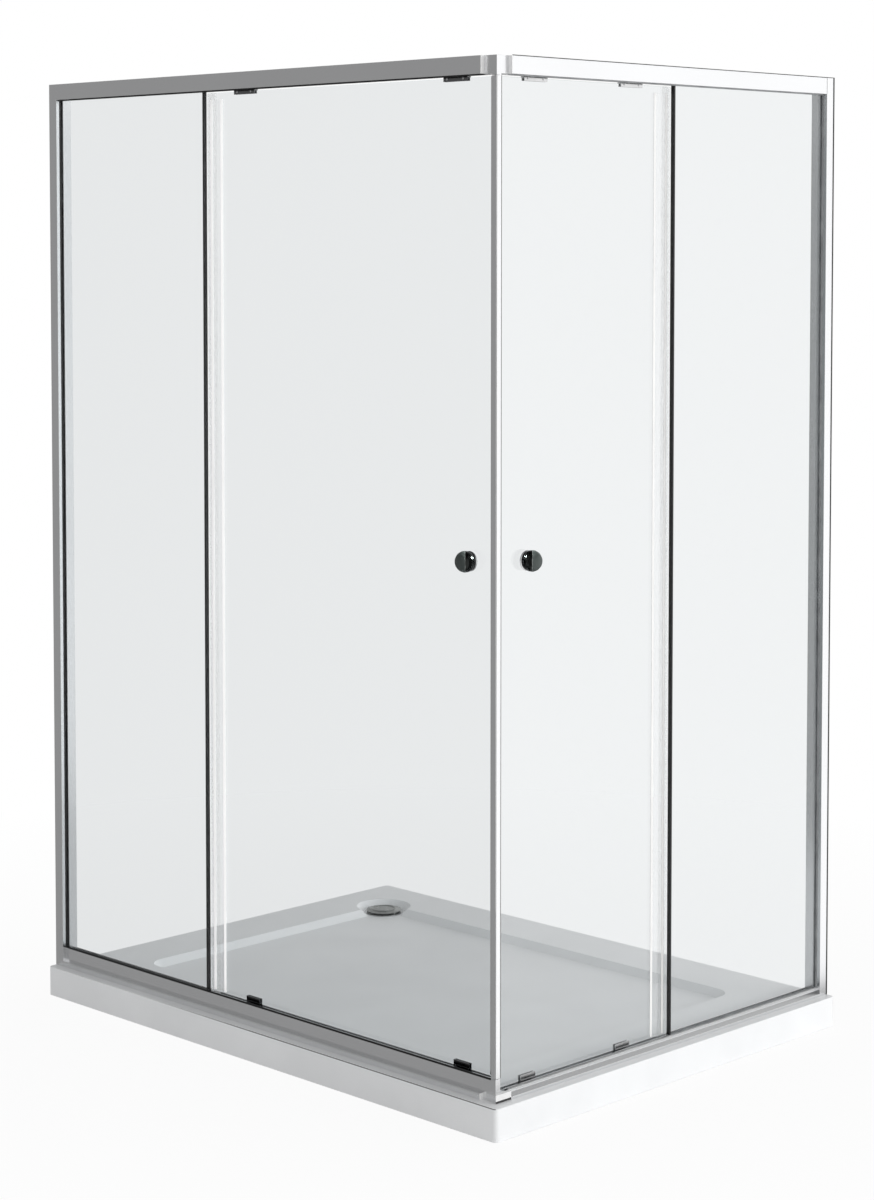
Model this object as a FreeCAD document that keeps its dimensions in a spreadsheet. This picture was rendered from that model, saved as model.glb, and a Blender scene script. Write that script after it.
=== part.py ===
"""Corner-entry shower enclosure on a low tray, two sliding doors, millimetres, +Z up.

The origin is the centre of the tray's underside. The front wing lies along X and faces -Y, the
side wing lies along Y and faces +X, and the two outer frame planes meet over the corner at +X, -Y.
Walls stand behind the -X and +Y sides of the tray.

Every wing is laid out in the same three coordinates, all read from that outer corner:
    u  distance along the wing, from the outer corner towards the wall
    d  depth, from the outer frame plane towards the room inside
    h  height above the top of the tray
"""
import FreeCAD
import Part
import math
import os
import re

import Sketcher

# Driving dimensions: alias, value, meaning.
SIZES = [
    # tray
    ("tray_length", 1306, "tray along X"),
    ("tray_width", 992, "tray along Y"),
    ("tray_height", 60, "tray skirt height"),
    ("tray_corner", 9, "radius of the tray's upright corners"),
    ("tray_edge", 1.5, "radius along the tray's upper outer edge"),
    ("tray_ledge", 20, "ledge outside the frame on the two open sides"),
    ("basin_wall_margin", 125, "wall side of the tray to the basin rim"),
    ("basin_open_margin", 165, "open side of the tray to the basin rim"),
    ("basin_depth", 15, "fall from the rim to the basin floor"),
    ("basin_corner", 40, "plan radius of the basin rim"),
    ("basin_taper", 38, "lean of the basin wall from upright, degrees"),
    ("drain_from_side", 135, "drain axis from the wall at -X"),
    ("drain_from_back", 140, "drain axis from the wall at +Y"),
    ("sump_radius", 62, "round sump that joins the basin to the drain"),
    ("drain_hole", 40, "radius of the hole through the tray"),
    ("drain_rim", 44, "radius of the waste flange"),
    ("drain_wall", 2, "wall of the waste cup and flange"),
    ("drain_outlet", 20, "radius of the outlet bore"),
    ("drain_outlet_length", 12, "length of the outlet bore"),
    ("drain_gap", 4, "water gap under the drain cover"),
    ("drain_fit", 0.4, "clearance round the waste cup and the cover's feet"),
    # frame sections
    ("frame_height", 1850, "frame, from the top of the tray"),
    ("rail_depth", 40, "depth of rails, sills and posts"),
    ("rail_wall", 2, "wall of the aluminium sections"),
    ("top_rail_height", 32, "top rail section height"),
    ("face_recess", 8, "sill face and corner blocks behind the outer plane"),
    ("front_sill_height", 38, "front sill section height"),
    ("sill_flange_height", 11.5, "lower flange of the front sill"),
    ("side_sill_height", 16, "low side threshold section height"),
    ("side_lip_height", 5, "upright lip of the side threshold"),
    ("side_slope_top", 11, "top of the side threshold's slope"),
    ("rear_wall_drop", 4, "sill's inner wall below its outer wall"),
    ("post_face", 24, "post width along the wing"),
    ("seat_depth", 12, "fixed glass inside rail, sill and post"),
    ("slot_front", 3, "lip between the glazing wall and the roller slot"),
    ("slot_width", 5.5, "roller slot in the underside of the top rail"),
    ("rib_height", 1.8, "running rib of the roller track"),
    ("rib_width", 2, "running rib of the roller track"),
    ("lip_thickness", 1.5, "guide lips in the sill"),
    ("lip_height", 6, "guide lips in the sill"),
    ("profile_fit", 0.3, "clearance of the wall profile inside the post"),
    # glass and seals
    ("glass_thickness", 5, "toughened glass"),
    ("gasket_thickness", 1, "glazing gasket between glass and metal"),
    ("bead_height", 2, "visible bead of the glazing gasket"),
    ("bead_depth", 1.4, "how far the bead laps the metal"),
    ("gasket_reach", 8, "gasket inside the glazing channel"),
    ("door_setback", 6, "inner glazing wall to the door glass"),
    ("front_opening", 801, "outer corner to the front fixed panel's free edge"),
    ("side_opening", 489, "outer corner to the side fixed panel's free edge"),
    ("door_overlap", 8, "closed door behind the fixed panel"),
    ("edge_seal_grip", 3.5, "fixed edge seal on its glass"),
    ("edge_seal_fin", 2.2, "fin of the fixed edge seal towards the door"),
    ("trailing_grip", 26, "trailing seal on the door glass"),
    ("hook_reach", 4.2, "hook of the trailing seal towards the fixed panel"),
    ("seal_wall", 1, "jaws of the edge seals"),
    ("seal_web", 1.5, "webs of the edge seals"),
    # sliding doors
    ("door_top_gap", 3.5, "door glass below the top rail"),
    ("door_profile_gap", 1.5, "closing profile to the gasket beads"),
    ("closing_face", 11.5, "visible face of a closing profile"),
    ("closing_gap", 0.8, "half the mitre gap between the doors, along u"),
    ("closing_lip", 5, "outer lip of the mitre face"),
    ("magnet_step", 1.8, "magnet pocket depth along u and d"),
    ("magnet_proud", 0.1, "magnet strip proud of its pocket, along u and d"),
    ("mitre_back", 6.5, "back wall of the mitre bar, along u"),
    ("glass_lead", 33.5, "door glass's leading edge from the outer corner"),
    ("glass_grip", 7, "closing profile's inner jaw on the door glass"),
    ("front_grip", 2.5, "closing profile's outer jaw on the door glass"),
    ("jaw_thickness", 2, "jaws of hangers, guides and closing profile"),
    ("front_knob_inset", 88, "front knob axis from the outer corner"),
    ("side_knob_inset", 104, "side knob axis from the outer corner"),
    ("knob_height", 958, "knob axis above the tray"),
    ("knob_radius", 19.4, "ball of the knob, across its axis"),
    ("knob_half_depth", 18, "ball of the knob, along its axis"),
    ("knob_stand", 13.4, "ball centre from the door glass"),
    ("knob_neck", 11, "radius of the knob's neck"),
    ("rosette_radius", 18.2, "outer rosette"),
    ("inner_rosette_radius", 12, "inner rosette"),
    ("rosette_thickness", 2.2, "rosettes"),
    ("washer_thickness", 1, "clear washer between rosette and glass"),
    ("inner_knob_radius", 8, "low cap inside"),
    ("inner_knob_height", 4, "low cap inside"),
    ("stud_radius", 4, "through stud of the knobs"),
    ("stud_clearance", 0.5, "stud in the glass hole"),
    ("hanger_lead", 124, "leading hanger from the outer corner"),
    ("hanger_trail", 114, "trailing hanger from the door's end"),
    ("guide_shift", 16, "bottom guides nearer to the corner than the hangers"),
    ("hanger_length", 60, "roller hanger along the wing"),
    ("hanger_jaw", 8, "height of the hanger's jaws"),
    ("hanger_clearance", 1, "hanger below the top rail"),
    ("plate_inset", 0.5, "hanger plate behind its outer jaw"),
    ("plate_thickness", 2.5, "hanger plate"),
    ("plate_rise", 20, "hanger plate above the rail's underside"),
    ("plate_shoulder", 12, "sloped shoulder of the hanger plate"),
    ("wheel_radius", 11, "rim of the roller"),
    ("wheel_groove", 1.5, "depth of the roller's groove"),
    ("wheel_width", 6, "roller"),
    ("wheel_running_gap", 0.3, "roller groove above the running rib"),
    ("wheel_side_gap", 0.3, "roller to its collars"),
    ("axle_radius", 2.5, "roller axle"),
    ("axle_fit", 0.05, "running fit of the roller on its axle"),
    ("axle_head", 4, "radius of the axle's head and collars"),
    ("axle_head_height", 1.2, "axle head"),
    ("clamp_screw_spread", 40, "distance between a hanger's clamp screws"),
    ("clamp_screw_drop", 4.5, "clamp screw above the jaw's lower edge"),
    ("clamp_screw_head", 2.2, "radius of a clamp screw's head"),
    ("clamp_screw_shank", 1.4, "radius of a clamp screw's shank"),
    ("clamp_head_height", 1.2, "height of a clamp screw's head"),
    ("guide_length", 39, "bottom guide along the wing"),
    ("guide_rise", 11, "bottom guide above the sill"),
    ("guide_clearance", 0.5, "guide shoe to lips, and shoulder above them"),
    ("guide_web", 1.5, "guide under the glass"),
    ("front_travel", 430, "slide of the front door"),
    ("side_travel", 358, "slide of the side door"),
    ("stop_length", 12, "door stop in the top rail"),
    ("stop_gap", 0.5, "hanger to its stop with the door open"),
    # fixings
    ("wall_hole", 3, "radius of the wall fixing holes"),
    ("fixing_margin", 150, "outermost fixings from both ends of a post"),
    ("post_screw_set", 9, "post screws from the wall"),
    ("screw_shank", 1.9, "radius of the frame screws"),
    ("screw_head", 3.5, "radius of the frame screws' heads"),
    ("screw_head_height", 2, "height of the frame screws' heads"),
    ("key_length", 25, "corner block's keys inside the rails"),
    ("key_fit", 0.3, "clearance of a key in its rail"),
    ("corner_foot_height", 11.5, "side leg of the lower corner block"),
    ("corner_wall", 12, "upright leg of the lower corner block, along d"),
    ("end_plate", 4, "lower corner block's plate across the sill end"),
    ("end_cap", 1.5, "corner blocks' caps over the rails' outer chambers"),
    ("corner_gap", 0.7, "corner blocks to the closing profiles, up and down"),
]

# Lengths that follow from the driving dimensions, as formulas of their aliases.
DERIVED = {
    "front_run": "tray_length - tray_ledge",
    "side_run": "tray_width - tray_ledge",
    "rail_under": "frame_height - top_rail_height",
    "rail_web": "frame_height - rail_wall",
    "rail_back": "rail_depth - rail_wall",
    "channel_front": "face_recess + rail_wall",
    "fixed_front": "channel_front + gasket_thickness",
    "fixed_back": "fixed_front + glass_thickness",
    "channel_back": "fixed_back + gasket_thickness",
    "track_front": "channel_back + rail_wall",
    "door_front": "track_front + door_setback",
    "door_back": "door_front + glass_thickness",
    "door_middle": "door_front + glass_thickness / 2",
    "slot_start": "track_front + slot_front",
    "slot_end": "slot_start + slot_width",
    "front_door_end": "front_opening + door_overlap",
    "side_door_end": "side_opening + door_overlap",
    "front_trail": "front_door_end - hanger_trail",
    "side_trail": "side_door_end - hanger_trail",
    "jaw_front": "door_front - jaw_thickness",
    "jaw_back": "door_back + jaw_thickness",
    "door_top": "rail_under - door_top_gap",
    "profile_low": "front_sill_height + bead_height + door_profile_gap",
    "profile_high": "rail_under - bead_height - door_profile_gap",
    "corner_face": "face_recess + closing_face",
    "hanger_low": "rail_under - hanger_clearance - hanger_jaw",
    "plate_front": "jaw_front + plate_inset",
    "plate_back": "plate_front + plate_thickness",
    "wheel_root": "wheel_radius - wheel_groove",
    "wheel_height": "rail_under + rail_wall + rib_height + wheel_running_gap + wheel_root",
    "rib_middle": "(slot_end + rail_back) / 2",
    "wheel_front": "rib_middle - wheel_width / 2",
    "wheel_back": "rib_middle + wheel_width / 2",
    "basin_floor": "tray_height - basin_depth",
    "drain_rim_top": "basin_floor + drain_wall",
    "cup_radius": "drain_hole - drain_fit",
    "cup_inside": "cup_radius - drain_wall",
}

doc = FreeCAD.newDocument("shower_enclosure")
sheet = doc.addObject("Spreadsheet::Sheet", "sizes")
for row, (alias, value, meaning) in enumerate(SIZES, start=1):
    sheet.set("A%d" % row, alias)
    sheet.set("B%d" % row, str(value))
    sheet.set("C%d" % row, meaning)
    sheet.setAlias("B%d" % row, alias)
doc.recompute()
ALIASES = {alias for alias, value, meaning in SIZES}


def formula(text):
    """The text with derived names opened up and every alias read from the sheet."""

    def opened(match):
        word = match.group(0)
        if word in DERIVED:
            return "(" + formula(DERIVED[word]) + ")"
        if word in ALIASES:
            return "sizes." + word
        return word

    return re.sub(r"[a-z_]+", opened, str(text))


def number(text):
    """The present value of a formula, for a sketch's first position or a check."""
    return float(sheet.evalExpression(formula(text)))


def bind(thing, **formulas):
    """Tie properties of an object to formulas; a double underscore stands for a point."""
    for name, text in formulas.items():
        thing.setExpression(name.replace("__", "."), formula(text))


class Wing:
    """One glazed side of the enclosure: turns u, d, h into the enclosure's own axes."""

    def __init__(self, name, along_x):
        self.name = name
        self.run = name + "_run"
        self.sill = name + "_sill_height"
        self.opening = name + "_opening"
        self.door_end = name + "_door_end"
        self.trail = name + "_trail"
        self.travel = name + "_travel"
        self.knob = name + "_knob_inset"
        self.along_x = along_x
        self.outward = FreeCAD.Vector(0, -1, 0) if along_x else FreeCAD.Vector(1, 0, 0)

    def place(self, u, d, h):
        """Formulas of a point's X, Y and Z."""
        across = (u, d) if self.along_x else (d, u)
        return (
            "tray_length / 2 - tray_ledge - (%s)" % across[0],
            "tray_ledge - tray_width / 2 + (%s)" % across[1],
            "tray_height + (%s)" % h,
        )

    def plan(self, u, d):
        """Formulas of a plan point, read from the tray's corner at -X, -Y."""
        across = (u, d) if self.along_x else (d, u)
        return ("tray_length - tray_ledge - (%s)" % across[0], "tray_ledge + (%s)" % across[1])


FRONT = Wing("front", along_x=True)
SIDE = Wing("side", along_x=False)


def at(thing, position, rotation=None):
    """Place an object: a bound position and, where needed, a fixed turn."""
    thing.Placement = FreeCAD.Placement(FreeCAD.Vector(), rotation or FreeCAD.Rotation())
    for axis, text in zip("xyz", position):
        thing.setExpression("Placement.Base." + axis, formula(text))
    return thing


def turn(x_goes, y_goes):
    """The rotation that carries a sketch's x and y axes onto two directions."""
    x_goes = FreeCAD.Vector(*x_goes)
    y_goes = FreeCAD.Vector(*y_goes)
    return FreeCAD.Rotation(x_goes, y_goes, x_goes.cross(y_goes), "XYZ")


def new_body(label):
    body = doc.addObject("PartDesign::Body", label)
    body.Label = label
    return body


def flat(body, plane):
    """One of a body's own origin planes, by its role."""
    return [f for f in body.Origin.OriginFeatures if f.Role == plane][0]


def sketch_on(body, plane="XY_Plane", lift="0"):
    sketch = body.newObject("Sketcher::SketchObject", body.Label + "_sketch")
    sketch.AttachmentSupport = [(flat(body, plane), "")]
    sketch.MapMode = "FlatFace"
    sketch.setExpression("AttachmentOffset.Base.z", formula(lift))
    return sketch


def hold(sketch, geometry, end, x, y):
    """Dimension one point of a sketch from its origin; a zero puts it on the axis."""
    for kind, axis, text in (("DistanceX", -2, x), ("DistanceY", -1, y)):
        value = number(text)
        if abs(value) < 1e-9:
            sketch.addConstraint(Sketcher.Constraint("PointOnObject", geometry, end, axis))
            continue
        index = sketch.addConstraint(
            Sketcher.Constraint(kind, -1, 1, geometry, end, value))
        sketch.setExpression("Constraints[%d]" % index, formula(text))


def outline(sketch, points, rounds=None):
    """A closed outline through points of formulas; rounds gives arcs after some points.

    rounds maps a point's number to (radius, centre x, centre y) of the arc to the next point.
    """
    rounds = rounds or {}
    spots = [FreeCAD.Vector(number(x), number(y), 0) for x, y in points]
    first = sketch.GeometryCount
    for i, spot in enumerate(spots):
        after = spots[(i + 1) % len(spots)]
        if i in rounds:
            radius, x, y = rounds[i]
            middle = FreeCAD.Vector(number(x), number(y), 0)
            start = math.atan2(spot.y - middle.y, spot.x - middle.x)
            stop = math.atan2(after.y - middle.y, after.x - middle.x)
            circle = Part.Circle(middle, FreeCAD.Vector(0, 0, 1), number(radius))
            sketch.addGeometry(Part.ArcOfCircle(circle, start, stop), False)
            index = sketch.addConstraint(
                Sketcher.Constraint("Radius", first + i, number(radius)))
            sketch.setExpression("Constraints[%d]" % index, formula(radius))
        else:
            sketch.addGeometry(Part.LineSegment(spot, after), False)
    for i in range(len(points)):
        sketch.addConstraint(
            Sketcher.Constraint("Coincident", first + i, 2, first + (i + 1) % len(points), 1))
    for i, (x, y) in enumerate(points):
        hold(sketch, first + i, 1, x, y)
    return sketch


def box_outline(sketch, low_x, high_x, low_y, high_y):
    return outline(sketch, [(low_x, low_y), (high_x, low_y), (high_x, high_y), (low_x, high_y)])


def circle(sketch, x, y, radius):
    middle = FreeCAD.Vector(number(x), number(y), 0)
    index = sketch.addGeometry(
        Part.Circle(middle, FreeCAD.Vector(0, 0, 1), number(radius)), False)
    hold(sketch, index, 3, x, y)
    size = sketch.addConstraint(Sketcher.Constraint("Radius", index, number(radius)))
    sketch.setExpression("Constraints[%d]" % size, formula(radius))
    return sketch


def pad(body, sketch, length):
    feature = body.newObject("PartDesign::Pad", body.Label + "_pad")
    feature.Profile = sketch
    bind(feature, Length=length)
    sketch.Visibility = False
    doc.recompute()
    return feature


def pocket(body, sketch, depth, taper=None):
    """Cut downwards from the sketch, leaning inwards by taper."""
    before = body.Shape.Volume
    feature = body.newObject("PartDesign::Pocket", body.Label + "_pocket")
    feature.Profile = sketch
    bind(feature, Length=depth)
    if taper:
        bind(feature, TaperAngle=taper)
    doc.recompute()
    if not body.Shape.Volume < before:
        raise RuntimeError("a pocket of %s cuts nothing" % body.Label)
    return feature


def turned(label, points, position, rotation=None, rounds=None):
    """A revolved body; points are (radius, distance along the axis)."""
    body = new_body(label)
    sketch = sketch_on(body, "XZ_Plane")
    outline(sketch, points, rounds)
    feature = body.newObject("PartDesign::Revolution", label + "_revolution")
    feature.Profile = sketch
    feature.ReferenceAxis = (sketch, ["V_Axis"])
    feature.Angle = 360.0
    doc.recompute()
    return at(body, position, rotation)


def extrusion(label, wing, points, start, end, chambers=()):
    """A straight length of section: points are (d, h), run from u = start to u = end."""
    body = new_body(label)
    sketch = sketch_on(body)
    outline(sketch, points)
    for chamber in chambers:
        box_outline(sketch, *chamber)
    pad(body, sketch, "(%s) - (%s)" % (end, start))
    if wing.along_x:
        return at(body, wing.place(end, "0", "0"), turn((0, 1, 0), (0, 0, 1)))
    return at(body, wing.place(start, "0", "0"), turn((-1, 0, 0), (0, 0, 1)))


def upright(label, wing, points, low, high):
    """A vertical length of section: points are (u, d), run from h = low to h = high."""
    body = new_body(label)
    sketch = sketch_on(body)
    outline(sketch, [wing.plan(u, d) for u, d in points])
    pad(body, sketch, "(%s) - (%s)" % (high, low))
    return at(body, ("-tray_length / 2", "-tray_width / 2", "tray_height + (%s)" % low))


def panel(label, wing, near, far, low, high, back, holes=()):
    """A glass pane between u = near and far, with its inner face at d = back."""
    body = new_body(label)
    sketch = sketch_on(body)
    along = ("%s - (%s)" % (wing.run, far), "%s - (%s)" % (wing.run, near))
    if not wing.along_x:
        along = (near, far)
    box_outline(sketch, along[0], along[1], low, high)
    for u, h, radius in holes:
        circle(sketch, "%s - (%s)" % (wing.run, u) if wing.along_x else u, h, radius)
    pad(body, sketch, "glass_thickness")
    if wing.along_x:
        return at(body, wing.place(wing.run, back, "0"), turn((1, 0, 0), (0, 0, 1)))
    return at(body, wing.place("0", back, "0"), turn((0, 1, 0), (0, 0, 1)))


def facing(wing, inward=False):
    """Turns a revolved body's axis from +Z to point out of, or into, the enclosure."""
    way = wing.outward * (-1 if inward else 1)
    return FreeCAD.Rotation(FreeCAD.Vector(0, 0, 1), way)


def drill(label, base, wing, spots, radius, depth):
    """The base with round holes bored along d: spots are (u, d, h) where a hole starts."""
    tools = []
    for i, spot in enumerate(spots):
        tool = doc.addObject("Part::Cylinder", "%s_hole_%d" % (label, i + 1))
        bind(tool, Radius=radius, Height=depth)
        tools.append(at(tool, wing.place(*spot), facing(wing, inward=True)))
    cut = doc.addObject("Part::Cut", label)
    cut.Label = label
    cut.Base = base
    cut.Tool = tools[0] if len(tools) == 1 else group(label + "_holes", tools)
    cut.Refine = True
    return cut


def group(label, things):
    """Identical loose pieces that share one node."""
    compound = doc.addObject("Part::Compound", label)
    compound.Label = label
    compound.Links = things
    return compound


NODES = []


def node(thing):
    """Mark an object as one of the enclosure's pieces."""
    NODES.append(thing)


# ---------------------------------------------------------------- tray and drain


def shower_tray():
    body = new_body("shower_tray")
    sketch = sketch_on(body)
    outline(sketch, *rounded("0", "tray_length", "0", "tray_width", "tray_corner"))
    pad(body, sketch, "tray_height")
    basin = sketch_on(body, lift="tray_height")
    outline(basin, *rounded("basin_wall_margin", "tray_length - basin_open_margin",
                            "basin_open_margin", "tray_width - basin_wall_margin",
                            "basin_corner"))
    pocket(body, basin, "basin_depth", "-basin_taper")
    sump = sketch_on(body, lift="tray_height")
    circle(sump, "drain_from_side", "tray_width - drain_from_back", "sump_radius")
    pocket(body, sump, "basin_depth", "-basin_taper")
    hole = sketch_on(body, lift="basin_floor")
    circle(hole, "drain_from_side", "tray_width - drain_from_back", "drain_hole")
    pocket(body, hole, "basin_floor + 1")
    round_edges(body, "tray_edge", lambda box: box.ZMin > number("tray_height") - 0.1 and
                      outside(box))
    return at(body, ("-tray_length / 2", "-tray_width / 2", "0"))


def outside(box):
    """True for an edge that lies along the tray's outer sides or corners."""
    reach = number("tray_corner") + 1
    return (box.XMax < reach or box.YMax < reach or box.XMin > number("tray_length") - reach or
            box.YMin > number("tray_width") - reach)


def round_edges(body, radius, wanted):
    """Fillet the edges of a body's last feature whose boxes are wanted."""
    names = ["Edge%d" % (i + 1) for i, edge in enumerate(body.Shape.Edges)
             if wanted(edge.BoundBox)]
    base = body.Tip
    fillet = body.newObject("PartDesign::Fillet", body.Label + "_fillet")
    fillet.Base = (base, names)
    bind(fillet, Radius=radius)
    body.Tip = fillet
    doc.recompute()
    return fillet


def rounded(low_x, high_x, low_y, high_y, radius):
    """Points and arcs of a rounded rectangle, counter-clockwise."""
    left = "%s + %s" % (low_x, radius)
    right = "%s - %s" % (high_x, radius)
    bottom = "%s + %s" % (low_y, radius)
    top = "%s - %s" % (high_y, radius)
    points = [(left, low_y), (right, low_y), (high_x, bottom), (high_x, top),
              (right, high_y), (left, high_y), (low_x, top), (low_x, bottom)]
    rounds = {1: (radius, right, bottom), 3: (radius, right, top),
              5: (radius, left, top), 7: (radius, left, bottom)}
    return points, rounds


DRAIN = ("drain_from_side - tray_length / 2", "tray_width / 2 - drain_from_back", "0")


def drain_flange():
    """Waste cup let into the tray, with a rim on the sump floor and a shoulder for the cover."""
    shoulder = "basin_floor - 4 * drain_wall"
    return turned("drain_flange", [
        ("drain_outlet", "0"), ("drain_outlet + drain_wall", "0"),
        ("drain_outlet + drain_wall", "drain_outlet_length - drain_wall"),
        ("cup_inside - drain_wall", "drain_outlet_length - drain_wall"),
        ("cup_inside - drain_wall", shoulder + " - drain_wall"),
        ("cup_radius", shoulder + " - drain_wall"), ("cup_radius", "basin_floor"),
        ("drain_rim", "basin_floor"), ("drain_rim", "drain_rim_top"),
        ("cup_inside", "drain_rim_top"), ("cup_inside", shoulder),
        ("cup_inside - 3 * drain_wall", shoulder),
        ("cup_inside - 3 * drain_wall", "drain_outlet_length"),
        ("drain_outlet", "drain_outlet_length")], DRAIN)


def drain_cover():
    """Domed cover with a raised ring and three feet that stand on the cup's shoulder."""
    low = "drain_rim_top + drain_gap"
    body = turned("drain_cover", [
        ("0", low), ("cup_radius", low), ("cup_radius", low + " + drain_wall / 2"),
        ("drain_hole * 0.68", low + " + drain_wall * 1.4"),
        ("drain_hole * 0.68", low + " + drain_wall * 2"),
        ("drain_hole * 0.62", low + " + drain_wall * 2"),
        ("drain_hole * 0.62", low + " + drain_wall * 1.5"),
        ("0", low + " + drain_wall * 1.7")], DRAIN)
    foot_low = "basin_floor - 4 * drain_wall + drain_fit"
    sketch = sketch_on(body, lift=foot_low)
    box_outline(sketch, "cup_inside - 2.75 * drain_wall", "cup_inside - 0.75 * drain_wall",
                "-drain_wall", "drain_wall")
    foot = pad(body, sketch, "(%s) - (%s) + drain_wall / 2" % (low, foot_low))
    feet = body.newObject("PartDesign::PolarPattern", "drain_cover_feet")
    feet.Originals = [foot]
    feet.Axis = (flat(body, "Z_Axis"), [""])
    feet.Angle = 360
    feet.Occurrences = 3
    body.Tip = feet
    doc.recompute()
    return body


# ---------------------------------------------------------------- aluminium frame


def wall_profile(wing):
    """U-channel screwed to the wall; the post slides over it to take up the wall's lean."""
    front = "rail_wall + profile_fit"
    back = "rail_back - profile_fit"
    deep = "seat_depth + rail_wall"
    u = lambda w: "%s - (%s)" % (wing.run, w)
    body = upright(wing.name + "_wall_profile_section", wing, [
        (u("0"), front), (u("0"), back), (u(deep), back), (u(deep), back + " - rail_wall"),
        (u("rail_wall"), back + " - rail_wall"), (u("rail_wall"), front + " + rail_wall"),
        (u(deep), front + " + rail_wall"), (u(deep), front)], "0", "frame_height")
    drilled = wall_holes(wing, body)
    return drill(wing.name + "_wall_profile", drilled, wing,
                 [(u("post_screw_set"), back + " - rail_wall", h) for h in FIXING_HEIGHTS],
                 "screw_shank", "2 * rail_wall")


FIXING_HEIGHTS = ("fixing_margin", "frame_height / 2", "frame_height - fixing_margin")


def wall_holes(wing, body):
    """Fixing holes through the base of a wall profile, along u."""
    tools = []
    for i, h in enumerate(FIXING_HEIGHTS):
        tool = doc.addObject("Part::Cylinder", "%s_wall_hole_%d" % (wing.name, i + 1))
        bind(tool, Radius="wall_hole", Height="2 * rail_wall")
        way = FreeCAD.Vector(-1, 0, 0) if wing.along_x else FreeCAD.Vector(0, 1, 0)
        at(tool, wing.place("%s - 1.5 * rail_wall" % wing.run, "rail_depth / 2", h),
           FreeCAD.Rotation(FreeCAD.Vector(0, 0, 1), way))
        tools.append(tool)
    cut = doc.addObject("Part::Cut", wing.name + "_wall_profile_drilled")
    cut.Base = body
    cut.Tool = group(wing.name + "_wall_holes", tools)
    return cut


def post(wing):
    """Adjusting post: a channel for the fixed glass, open behind to take the wall profile."""
    u = lambda w: "%s - (%s)" % (wing.run, w)
    face = "post_face"
    inner = "post_face - rail_wall"
    floor = "post_face - seat_depth"
    body = upright(wing.name + "_post_section", wing, [
        (u("0"), "0"), (u(face), "0"), (u(face), "channel_front"), (u(floor), "channel_front"),
        (u(floor), "channel_back"), (u(face), "channel_back"), (u(face), "rail_depth"),
        (u("0"), "rail_depth"), (u("0"), "rail_back"), (u(inner), "rail_back"),
        (u(inner), "track_front"), (u(floor + " - rail_wall"), "track_front"),
        (u(floor + " - rail_wall"), "face_recess"), (u(inner), "face_recess"),
        (u(inner), "rail_wall"), (u("0"), "rail_wall")], "0", "frame_height")
    return drill(wing.name + "_post", body, wing,
                 [(u("post_screw_set"), "rail_back - 1", h) for h in FIXING_HEIGHTS],
                 "screw_shank", "2 * rail_wall")


def top_rail(wing):
    """Rail with an outer chamber, the glazing channel and the slotted roller track."""
    low = "rail_under"
    flange = "rail_under + rail_wall"
    rib_top = flange + " + rib_height"
    high = "rail_web"
    points = [
        ("0", low), ("0", "frame_height"), ("rail_depth", "frame_height"),
        ("rail_depth", low), ("slot_end", low), ("slot_end", flange),
        ("rib_middle - rib_width", flange), ("rib_middle - rib_width / 4", rib_top),
        ("rib_middle + rib_width / 4", rib_top), ("rib_middle + rib_width", flange),
        ("rail_back", flange), ("rail_back", high), ("track_front", high),
        ("track_front", flange), ("slot_start", flange), ("slot_start", low),
        ("channel_back", low), ("channel_back", high), ("channel_front", high),
        ("channel_front", low)]
    body = extrusion(wing.name + "_top_rail_section", wing, points, "rail_depth",
                     "%s - post_face" % wing.run,
                     [("rail_wall", "face_recess", flange, high)])
    return drill(wing.name + "_top_rail", body, wing,
                 [("rail_depth + key_length / 2", "rail_back - 1", TOP_SCREW_HEIGHT)],
                 "screw_shank", "2 * rail_wall")


TOP_SCREW_HEIGHT = "frame_height - top_rail_height / 2"
FRONT_SCREW_HEIGHT = "front_sill_height / 3"


def sill_inside(wing):
    """The part of a sill that both wings share, from its outer wall's top to the inner wall."""
    top = wing.sill
    floor = "%s - seat_depth" % top
    lip = floor + " + lip_height"
    lip_front = "door_middle - glass_thickness / 2 - guide_clearance * 2"
    lip_back = "door_middle + glass_thickness / 2 + guide_clearance * 2"
    return [
        ("face_recess", top), ("channel_front", top), ("channel_front", floor),
        ("channel_back", floor), ("channel_back", top), ("track_front", top),
        ("track_front", floor), (lip_front + " - lip_thickness", floor),
        (lip_front + " - lip_thickness", lip), (lip_front, lip), (lip_front, floor),
        (lip_back, floor), (lip_back, lip), (lip_back + " + lip_thickness", lip),
        (lip_back + " + lip_thickness", floor), ("rail_back", floor),
        ("rail_back", "%s - rear_wall_drop" % top), ("rail_depth", "%s - rear_wall_drop" % top),
        ("rail_depth", "0")]


def front_sill():
    """Chambered sill with a stepped face; the guide lips lie level with its glazing seat."""
    floor_low = "front_sill_height - seat_depth - rail_wall"
    points = [("0", "0"), ("0", "sill_flange_height"), ("face_recess", "sill_flange_height")]
    chambers = [
        ("rail_wall", "face_recess", "rail_wall", "sill_flange_height - rail_wall"),
        ("channel_front", "channel_back", "rail_wall", floor_low),
        ("track_front", "rail_back", "rail_wall", floor_low)]
    body = extrusion("front_sill_section", FRONT, points + sill_inside(FRONT), "rail_depth",
                     "front_run - post_face", chambers)
    return drill("front_sill", body, FRONT,
                 [("rail_depth + key_length / 2", "rail_back - 1", FRONT_SCREW_HEIGHT)],
                 "screw_shank", "2 * rail_wall")


def side_sill():
    """Low threshold with a sloped face."""
    points = [("0", "0"), ("0", "side_lip_height"), ("face_recess", "side_slope_top")]
    return extrusion("side_sill", SIDE, points + sill_inside(SIDE), "rail_depth",
                     "side_run - post_face")


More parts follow.
